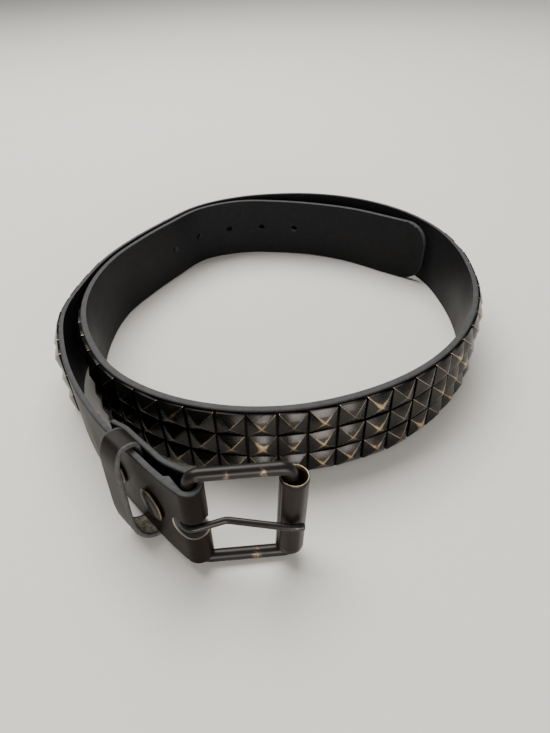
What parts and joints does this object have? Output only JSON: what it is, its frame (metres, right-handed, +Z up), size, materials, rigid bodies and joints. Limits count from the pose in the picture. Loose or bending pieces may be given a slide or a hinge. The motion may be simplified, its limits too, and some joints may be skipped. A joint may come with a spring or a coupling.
{
  "type": "studded leather belt",
  "caption": "Leather belt with rows of pyramid studs, wound in a loop and standing on edge, with a roller buckle, swinging prong, leather keeper and snap-closed fold.",
  "frame": {"origin": "on the table, under the middle of the wound belt's box", "axes": "+Z up, across the strap's width; -Y to the side where the buckle lies in front; +X from the buckle's heel bar toward its roller, within 4 degrees"},
  "size_m": [0.2298, 0.275, 0.0519],
  "materials": {
    "strap_leather": "satin black-brown finished leather with a dusty grey cut edge",
    "keeper_leather": "satin black-brown finished leather, grey fibrous flesh side",
    "stud_metal": "black coating worn to brass along the ridges and at the apexes",
    "frame_metal": "black paint worn to copper in spots",
    "roller_metal": "glossy dark brown-black paint, brass showing at the rim",
    "prong_metal": "satin dark grey",
    "snap_metal": "black cap with a brass-worn rim"
  },
  "bodies": {
    "belt": {"strap": "strap_leather", "stud_field": "stud_metal", "keeper": "keeper_leather", "snap_front": "snap_metal", "snap_rear": "snap_metal"},
    "buckle": {"buckle_frame": "frame_metal"},
    "buckle_roller": {"roller": "roller_metal"},
    "buckle_prong": {"prong": "prong_metal"}
  },
  "joints": [
    {"name": "buckle_pivot", "type": "hinge", "parent": "belt", "child": "buckle", "pos_m": [-0.03275, -0.13231, 0], "axis": [-0.003, 0.0453, 0.999], "range_deg": [-75, 45]},
    {"name": "prong_pivot", "type": "hinge", "parent": "buckle", "child": "buckle_prong", "pos_m": [-0.03275, -0.13231, 0], "axis": [-0.003, 0.0453, 0.999], "range_deg": [-75, 0]},
    {"name": "roller_spin", "type": "hinge", "parent": "buckle", "child": "buckle_roller", "pos_m": [0.00299, -0.12876, 0.02598], "axis": [0.0562, 0.0491, 0.9972], "continuous": true}
  ]
}
